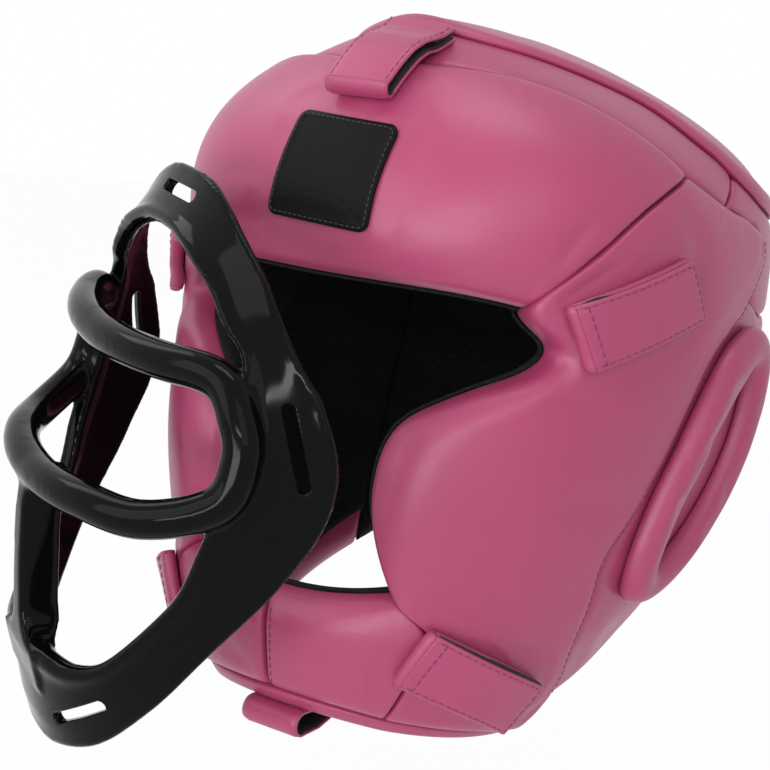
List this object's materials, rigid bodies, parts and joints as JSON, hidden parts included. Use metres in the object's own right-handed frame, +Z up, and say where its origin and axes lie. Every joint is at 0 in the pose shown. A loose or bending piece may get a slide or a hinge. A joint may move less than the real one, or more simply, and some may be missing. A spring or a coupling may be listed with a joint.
{
  "type": "headguard with face cage",
  "caption": "Full-face padded headguard with ear rolls, strap tabs and a rear closure, and its moulded face cage taken off in front.",
  "frame": {"origin": "the middle of the head, level with the ears, on the guard's middle plane", "axes": "+Z up, the wearer faces -Y, the wearer's left is +X; the guard stands upright as worn and the cage hangs taken off in front of its right cheek"},
  "size_m": [0.2306, 0.3236, 0.2639],
  "materials": {
    "cover": "matte synthetic leather, fine grain",
    "lining": "brushed knit",
    "hook_tape": "loop tape",
    "badge": "semi-gloss moulded patch",
    "cage": "glossy moulded polycarbonate"
  },
  "bodies": {
    "guard": {"forehead_pad": "cover", "side_pad_left": "cover", "side_pad_right": "cover", "chin_pad_left": "cover", "chin_pad_right": "cover", "lower_band": "cover", "ear_pad_left": "cover", "ear_pad_right": "cover", "neck_panel_left": "cover", "neck_panel_right": "cover", "crown_panel": "cover", "crown_binding": "cover", "gusset_front": "cover", "gusset_rear_left": "cover", "gusset_rear_right": "cover", "rear_pad_left": "cover", "rear_pad_right": "cover", "lining_forehead": "lining", "lining_side_left": "lining", "lining_side_right": "lining", "lining_crown": "lining", "lining_rear_left": "lining", "lining_rear_right": "lining", "badge": "badge", "forehead_tab_base": "cover", "temple_tab_base_left": "cover", "temple_tab_base_right": "cover", "jaw_tab_base_left": "cover", "jaw_tab_base_right": "cover", "chin_tab_base": "cover", "rear_loop_patch": "hook_tape"},
    "temple_flap_left": {"temple_flap_left": "cover"},
    "temple_flap_right": {"temple_flap_right": "cover"},
    "jaw_flap_left": {"jaw_flap_left": "cover"},
    "jaw_flap_right": {"jaw_flap_right": "cover"},
    "forehead_flap": {"forehead_flap": "cover"},
    "chin_flap": {"chin_flap": "cover"},
    "rear_closure": {"rear_strap": "cover"},
    "cage": {"face_cage": "cage"}
  },
  "joints": [
    {"name": "temple_flap_left_fold", "type": "hinge", "parent": "guard", "child": "temple_flap_left", "pos_m": [0.09319, -0.08794, 0.04074], "axis": [0.2746, 0.3718, -0.8868], "range_deg": [0, 105]},
    {"name": "temple_flap_right_fold", "type": "hinge", "parent": "guard", "child": "temple_flap_right", "pos_m": [-0.09319, -0.08794, 0.04074], "axis": [0.2746, -0.3718, 0.8868], "range_deg": [0, 105]},
    {"name": "jaw_flap_left_fold", "type": "hinge", "parent": "guard", "child": "jaw_flap_left", "pos_m": [0.05819, -0.11343, -0.07713], "axis": [-0.4621, -0.1465, -0.8747], "range_deg": [0, 80]},
    {"name": "jaw_flap_right_fold", "type": "hinge", "parent": "guard", "child": "jaw_flap_right", "pos_m": [-0.05819, -0.11343, -0.07713], "axis": [-0.4621, 0.1465, 0.8747], "range_deg": [0, 80]},
    {"name": "forehead_flap_fold", "type": "hinge", "parent": "guard", "child": "forehead_flap", "pos_m": [0.00498, -0.11483, 0.12005], "axis": [0.9997, 0.0245, 0.0011], "range_deg": [0, 100]},
    {"name": "chin_flap_fold", "type": "hinge", "parent": "guard", "child": "chin_flap", "pos_m": [0, -0.1127, -0.118], "axis": [-1, 0, 0], "range_deg": [0, 80]},
    {"name": "rear_strap_peel", "type": "hinge", "parent": "guard", "child": "rear_closure", "pos_m": [-0.05241, 0.08403, -0.00897], "axis": [-0.0914, 0.3879, 0.9172], "range_deg": [0, 70]},
    {"name": "cage_fitting", "type": "hinge", "parent": "guard", "child": "cage", "pos_m": [-0.0877, -0.0803, 0], "axis": [0.1352, 0.3233, -0.9366], "range_deg": [-26, 30]}
  ]
}
